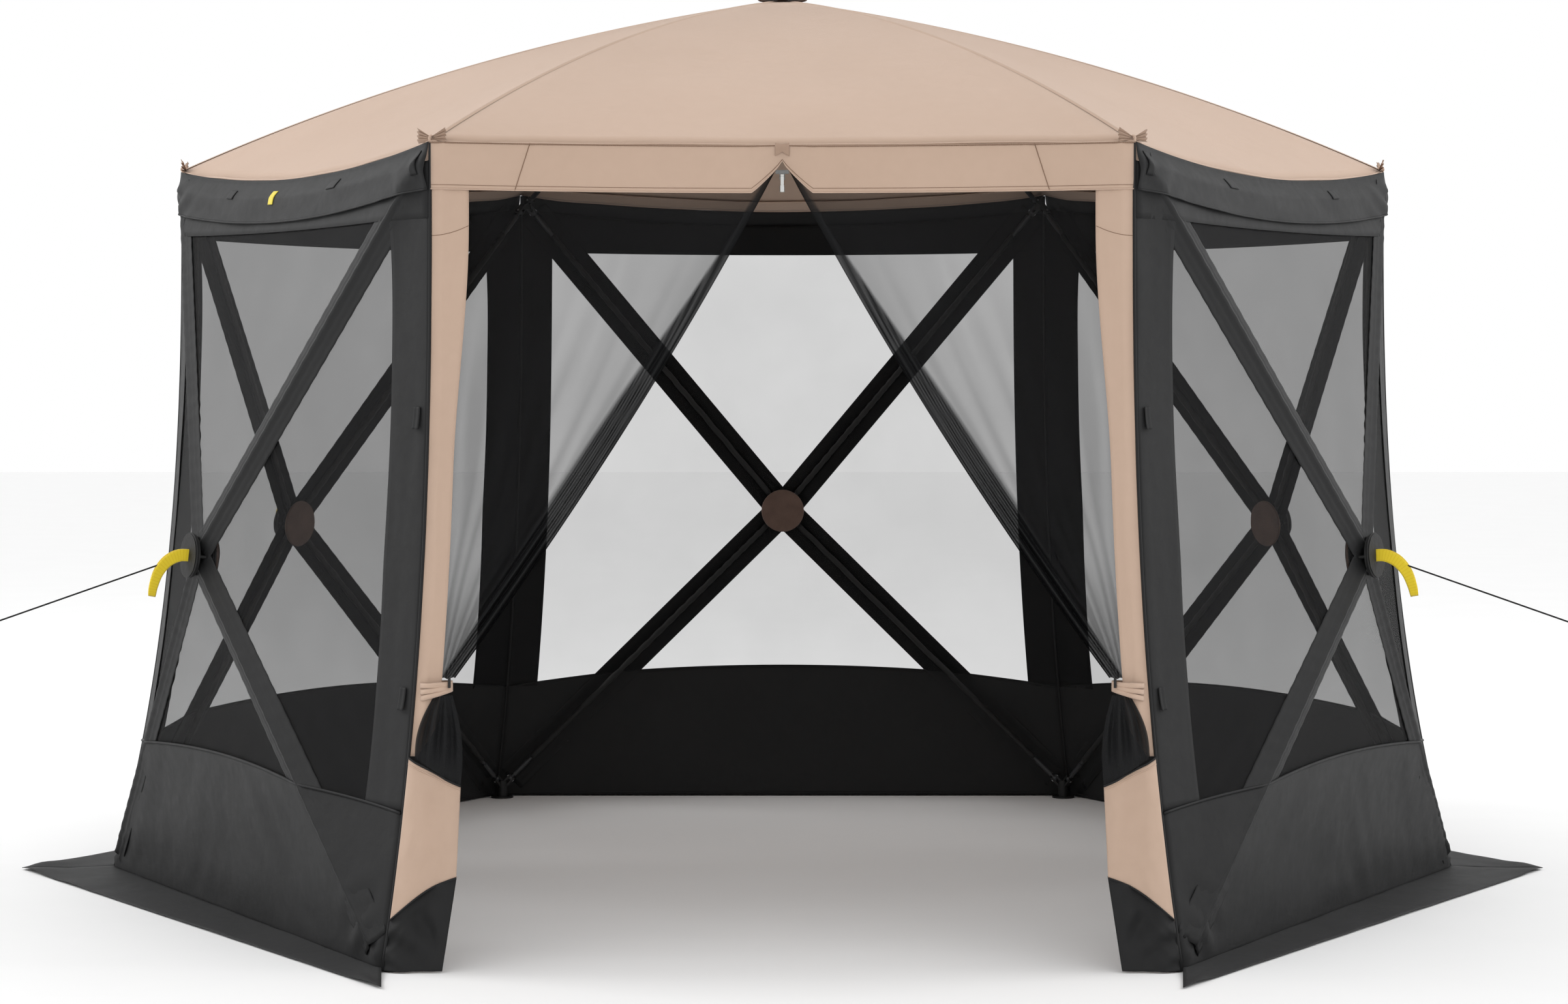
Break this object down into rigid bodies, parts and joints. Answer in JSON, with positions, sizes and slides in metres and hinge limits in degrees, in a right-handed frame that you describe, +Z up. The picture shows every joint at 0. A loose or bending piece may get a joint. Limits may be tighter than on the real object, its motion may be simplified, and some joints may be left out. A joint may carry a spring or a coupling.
{
  "type": "screen house",
  "caption": "Six-sided pop-up screen house: bulging mesh walls on hub-and-pole frames, a sprung pitched roof, and a gathered doorway with tied curtains.",
  "frame": {"origin": "on the floor, in the middle of the house", "axes": "+Z up, the doorway faces -Y, +X to the right of someone facing the doorway"},
  "size_m": [4.0244, 3.4858, 2.299],
  "materials": {
    "tan_cloth": "matt woven",
    "black_cloth": "matt woven",
    "mesh_cloth": "fine netting",
    "pole_fibreglass": "satin",
    "black_plastic": "satin",
    "pin_steel": "brushed",
    "zip_metal": "satin",
    "strap_webbing": "woven webbing",
    "cap_cloth": "matt woven",
    "rope_cord": "braided"
  },
  "bodies": {
    "house": {"canopy": "tan_cloth", "valance": "tan_cloth", "kick_panels": "black_cloth", "ground_flap": "black_cloth", "corner_strips": "black_cloth", "door_jambs": "tan_cloth", "curtain_left": "mesh_cloth", "curtain_right": "mesh_cloth", "tie_backs": "tan_cloth", "zip_slider": "zip_metal", "wall_tabs": "black_cloth", "top_brackets": "black_plastic", "feet": "black_plastic", "pivot_pins": "pin_steel", "mesh_wall_1": "mesh_cloth", "mesh_wall_2": "mesh_cloth", "mesh_wall_3": "mesh_cloth", "mesh_wall_4": "mesh_cloth", "mesh_wall_5": "mesh_cloth"},
    "roof_hub": {"roof_hub": "black_plastic", "roof_cap": "cap_cloth"},
    "roof_pole_0": {"roof_pole_0": "pole_fibreglass"},
    "roof_pole_1": {"roof_pole_1": "pole_fibreglass"},
    "roof_pole_2": {"roof_pole_2": "pole_fibreglass"},
    "roof_pole_3": {"roof_pole_3": "pole_fibreglass"},
    "roof_pole_4": {"roof_pole_4": "pole_fibreglass"},
    "roof_pole_5": {"roof_pole_5": "pole_fibreglass"},
    "wall_hub_1": {"wall_hub_1": "black_plastic", "pull_strap_1": "strap_webbing", "guy_rope_1": "rope_cord"},
    "wall_pole_1a": {"wall_pole_1a": "pole_fibreglass"},
    "wall_pole_1b": {"wall_pole_1b": "pole_fibreglass"},
    "wall_pole_1c": {"wall_pole_1c": "pole_fibreglass"},
    "wall_pole_1d": {"wall_pole_1d": "pole_fibreglass"},
    "wall_hub_2": {"wall_hub_2": "black_plastic", "pull_strap_2": "strap_webbing"},
    "wall_pole_2a": {"wall_pole_2a": "pole_fibreglass"},
    "wall_pole_2b": {"wall_pole_2b": "pole_fibreglass"},
    "wall_pole_2c": {"wall_pole_2c": "pole_fibreglass"},
    "wall_pole_2d": {"wall_pole_2d": "pole_fibreglass"},
    "wall_hub_3": {"wall_hub_3": "black_plastic", "pull_strap_3": "strap_webbing"},
    "wall_pole_3a": {"wall_pole_3a": "pole_fibreglass"},
    "wall_pole_3b": {"wall_pole_3b": "pole_fibreglass"},
    "wall_pole_3c": {"wall_pole_3c": "pole_fibreglass"},
    "wall_pole_3d": {"wall_pole_3d": "pole_fibreglass"},
    "wall_hub_4": {"wall_hub_4": "black_plastic", "pull_strap_4": "strap_webbing"},
    "wall_pole_4a": {"wall_pole_4a": "pole_fibreglass"},
    "wall_pole_4b": {"wall_pole_4b": "pole_fibreglass"},
    "wall_pole_4c": {"wall_pole_4c": "pole_fibreglass"},
    "wall_pole_4d": {"wall_pole_4d": "pole_fibreglass"},
    "wall_hub_5": {"wall_hub_5": "black_plastic", "pull_strap_5": "strap_webbing", "guy_rope_5": "rope_cord"},
    "wall_pole_5a": {"wall_pole_5a": "pole_fibreglass"},
    "wall_pole_5b": {"wall_pole_5b": "pole_fibreglass"},
    "wall_pole_5c": {"wall_pole_5c": "pole_fibreglass"},
    "wall_pole_5d": {"wall_pole_5d": "pole_fibreglass"},
    "zip_pull": {"zip_pull": "zip_metal"}
  },
  "joints": [
    {"name": "roof_pop", "type": "slide", "parent": "house", "child": "roof_hub", "axis": [0, 0, 1], "range_m": [-0.15, 0], "deforming": ["canopy"]},
    {"name": "roof_pole_0_pivot", "type": "hinge", "parent": "house", "child": "roof_pole_0", "pos_m": [0.75572, -1.30895, 1.82493], "axis": [0.866, 0.5, 0], "range_deg": [-5.9, 0]},
    {"name": "roof_pole_1_pivot", "type": "hinge", "parent": "house", "child": "roof_pole_1", "pos_m": [1.51144, 0, 1.82493], "axis": [0, 1, 0], "range_deg": [-5.9, 0]},
    {"name": "roof_pole_2_pivot", "type": "hinge", "parent": "house", "child": "roof_pole_2", "pos_m": [0.75572, 1.30895, 1.82493], "axis": [-0.866, 0.5, 0], "range_deg": [-5.9, 0]},
    {"name": "roof_pole_3_pivot", "type": "hinge", "parent": "house", "child": "roof_pole_3", "pos_m": [-0.75572, 1.30895, 1.82493], "axis": [-0.866, -0.5, 0], "range_deg": [-5.9, 0]},
    {"name": "roof_pole_4_pivot", "type": "hinge", "parent": "house", "child": "roof_pole_4", "pos_m": [-1.51144, 0, 1.82493], "axis": [0, -1, 0], "range_deg": [-5.9, 0]},
    {"name": "roof_pole_5_pivot", "type": "hinge", "parent": "house", "child": "roof_pole_5", "pos_m": [-0.75572, -1.30895, 1.82493], "axis": [0.866, -0.5, 0], "range_deg": [-5.9, 0]},
    {"name": "wall_pop_1", "type": "slide", "parent": "house", "child": "wall_hub_1", "axis": [0.8627, -0.4981, 0.0872], "range_m": [-0.15, 0], "deforming": ["mesh_wall_1"]},
    {"name": "wall_pole_1a_pivot", "type": "hinge", "parent": "house", "child": "wall_pole_1a", "pos_m": [0.79026, -1.3232, 1.78873], "axis": [0.3415, 0.7011, 0.626], "range_deg": [0, 7.19]},
    {"name": "wall_pole_1b_pivot", "type": "hinge", "parent": "house", "child": "wall_pole_1b", "pos_m": [1.54106, -0.02279, 1.78873], "axis": [0.4364, 0.6462, -0.626], "range_deg": [0, 7.19]},
    {"name": "wall_pole_1c_pivot", "type": "hinge", "parent": "house", "child": "wall_pole_1c", "pos_m": [0.87813, -1.47421, 0.05936], "axis": [-0.4013, -0.5693, 0.7176], "range_deg": [0, 7.38]},
    {"name": "wall_pole_1d_pivot", "type": "hinge", "parent": "house", "child": "wall_pole_1d", "pos_m": [1.71576, -0.02338, 0.05936], "axis": [-0.2924, -0.6322, -0.7176], "range_deg": [0, 7.38]},
    {"name": "wall_pop_2", "type": "slide", "parent": "house", "child": "wall_hub_2", "axis": [0.8627, 0.4981, 0.0872], "range_m": [-0.15, 0], "deforming": ["mesh_wall_2"]},
    {"name": "wall_pole_2a_pivot", "type": "hinge", "parent": "house", "child": "wall_pole_2a", "pos_m": [1.54106, 0.02279, 1.78873], "axis": [-0.4364, 0.6462, 0.626], "range_deg": [0, 7.19]},
    {"name": "wall_pole_2b_pivot", "type": "hinge", "parent": "house", "child": "wall_pole_2b", "pos_m": [0.79026, 1.3232, 1.78873], "axis": [-0.3415, 0.7011, -0.626], "range_deg": [0, 7.19]},
    {"name": "wall_pole_2c_pivot", "type": "hinge", "parent": "house", "child": "wall_pole_2c", "pos_m": [1.71576, 0.02338, 0.05936], "axis": [0.2924, -0.6322, 0.7176], "range_deg": [0, 7.38]},
    {"name": "wall_pole_2d_pivot", "type": "hinge", "parent": "house", "child": "wall_pole_2d", "pos_m": [0.87813, 1.47421, 0.05936], "axis": [0.4013, -0.5693, -0.7176], "range_deg": [0, 7.38]},
    {"name": "wall_pop_3", "type": "slide", "parent": "house", "child": "wall_hub_3", "axis": [0, 0.9962, 0.0872], "range_m": [-0.15, 0], "deforming": ["mesh_wall_3"]},
    {"name": "wall_pole_3a_pivot", "type": "hinge", "parent": "house", "child": "wall_pole_3a", "pos_m": [0.75079, 1.34599, 1.78873], "axis": [-0.7779, -0.0548, 0.626], "range_deg": [0, 7.19]},
    {"name": "wall_pole_3b_pivot", "type": "hinge", "parent": "house", "child": "wall_pole_3b", "pos_m": [-0.75079, 1.34599, 1.78873], "axis": [-0.7779, 0.0548, -0.626], "range_deg": [0, 7.19]},
    {"name": "wall_pole_3c_pivot", "type": "hinge", "parent": "house", "child": "wall_pole_3c", "pos_m": [0.83764, 1.49758, 0.05936], "axis": [0.6937, -0.0628, 0.7176], "range_deg": [0, 7.38]},
    {"name": "wall_pole_3d_pivot", "type": "hinge", "parent": "house", "child": "wall_pole_3d", "pos_m": [-0.83764, 1.49758, 0.05936], "axis": [0.6937, 0.0628, -0.7176], "range_deg": [0, 7.38]},
    {"name": "wall_pop_4", "type": "slide", "parent": "house", "child": "wall_hub_4", "axis": [-0.8627, 0.4981, 0.0872], "range_m": [-0.15, 0], "deforming": ["mesh_wall_4"]},
    {"name": "wall_pole_4a_pivot", "type": "hinge", "parent": "house", "child": "wall_pole_4a", "pos_m": [-0.79026, 1.3232, 1.78873], "axis": [-0.3415, -0.7011, 0.626], "range_deg": [0, 7.19]},
    {"name": "wall_pole_4b_pivot", "type": "hinge", "parent": "house", "child": "wall_pole_4b", "pos_m": [-1.54106, 0.02279, 1.78873], "axis": [-0.4364, -0.6462, -0.626], "range_deg": [0, 7.19]},
    {"name": "wall_pole_4c_pivot", "type": "hinge", "parent": "house", "child": "wall_pole_4c", "pos_m": [-0.87813, 1.47421, 0.05936], "axis": [0.4013, 0.5693, 0.7176], "range_deg": [0, 7.38]},
    {"name": "wall_pole_4d_pivot", "type": "hinge", "parent": "house", "child": "wall_pole_4d", "pos_m": [-1.71576, 0.02338, 0.05936], "axis": [0.2924, 0.6322, -0.7176], "range_deg": [0, 7.38]},
    {"name": "wall_pop_5", "type": "slide", "parent": "house", "child": "wall_hub_5", "axis": [-0.8627, -0.4981, 0.0872], "range_m": [-0.15, 0], "deforming": ["mesh_wall_5"]},
    {"name": "wall_pole_5a_pivot", "type": "hinge", "parent": "house", "child": "wall_pole_5a", "pos_m": [-1.54106, -0.02279, 1.78873], "axis": [0.4364, -0.6462, 0.626], "range_deg": [0, 7.19]},
    {"name": "wall_pole_5b_pivot", "type": "hinge", "parent": "house", "child": "wall_pole_5b", "pos_m": [-0.79026, -1.3232, 1.78873], "axis": [0.3415, -0.7011, -0.626], "range_deg": [0, 7.19]},
    {"name": "wall_pole_5c_pivot", "type": "hinge", "parent": "house", "child": "wall_pole_5c", "pos_m": [-1.71576, -0.02338, 0.05936], "axis": [-0.2924, 0.6322, 0.7176], "range_deg": [0, 7.38]},
    {"name": "wall_pole_5d_pivot", "type": "hinge", "parent": "house", "child": "wall_pole_5d", "pos_m": [-0.87813, -1.47421, 0.05936], "axis": [-0.4013, 0.5693, -0.7176], "range_deg": [0, 7.38]},
    {"name": "zip_pull_swing", "type": "hinge", "parent": "house", "child": "zip_pull", "pos_m": [0, -1.37904, 1.766], "axis": [-1, 0, 0], "range_deg": [0, 110]}
  ],
  "couplings": [
    {"joint": "roof_pole_0_pivot", "follows": "roof_pop", "rad_per_m": 0.68082},
    {"joint": "roof_pole_1_pivot", "follows": "roof_pop", "rad_per_m": 0.68082},
    {"joint": "roof_pole_2_pivot", "follows": "roof_pop", "rad_per_m": 0.68082},
    {"joint": "roof_pole_3_pivot", "follows": "roof_pop", "rad_per_m": 0.68082},
    {"joint": "roof_pole_4_pivot", "follows": "roof_pop", "rad_per_m": 0.68082},
    {"joint": "roof_pole_5_pivot", "follows": "roof_pop", "rad_per_m": 0.68082},
    {"joint": "wall_pole_1a_pivot", "follows": "wall_pop_1", "rad_per_m": -0.8307},
    {"joint": "wall_pole_1b_pivot", "follows": "wall_pop_1", "rad_per_m": -0.8307},
    {"joint": "wall_pole_1c_pivot", "follows": "wall_pop_1", "rad_per_m": -0.85308},
    {"joint": "wall_pole_1d_pivot", "follows": "wall_pop_1", "rad_per_m": -0.85308},
    {"joint": "wall_pole_2a_pivot", "follows": "wall_pop_2", "rad_per_m": -0.8307},
    {"joint": "wall_pole_2b_pivot", "follows": "wall_pop_2", "rad_per_m": -0.8307},
    {"joint": "wall_pole_2c_pivot", "follows": "wall_pop_2", "rad_per_m": -0.85308},
    {"joint": "wall_pole_2d_pivot", "follows": "wall_pop_2", "rad_per_m": -0.85308},
    {"joint": "wall_pole_3a_pivot", "follows": "wall_pop_3", "rad_per_m": -0.8307},
    {"joint": "wall_pole_3b_pivot", "follows": "wall_pop_3", "rad_per_m": -0.8307},
    {"joint": "wall_pole_3c_pivot", "follows": "wall_pop_3", "rad_per_m": -0.85308},
    {"joint": "wall_pole_3d_pivot", "follows": "wall_pop_3", "rad_per_m": -0.85308},
    {"joint": "wall_pole_4a_pivot", "follows": "wall_pop_4", "rad_per_m": -0.8307},
    {"joint": "wall_pole_4b_pivot", "follows": "wall_pop_4", "rad_per_m": -0.8307},
    {"joint": "wall_pole_4c_pivot", "follows": "wall_pop_4", "rad_per_m": -0.85308},
    {"joint": "wall_pole_4d_pivot", "follows": "wall_pop_4", "rad_per_m": -0.85308},
    {"joint": "wall_pole_5a_pivot", "follows": "wall_pop_5", "rad_per_m": -0.8307},
    {"joint": "wall_pole_5b_pivot", "follows": "wall_pop_5", "rad_per_m": -0.8307},
    {"joint": "wall_pole_5c_pivot", "follows": "wall_pop_5", "rad_per_m": -0.85308},
    {"joint": "wall_pole_5d_pivot", "follows": "wall_pop_5", "rad_per_m": -0.85308}
  ]
}
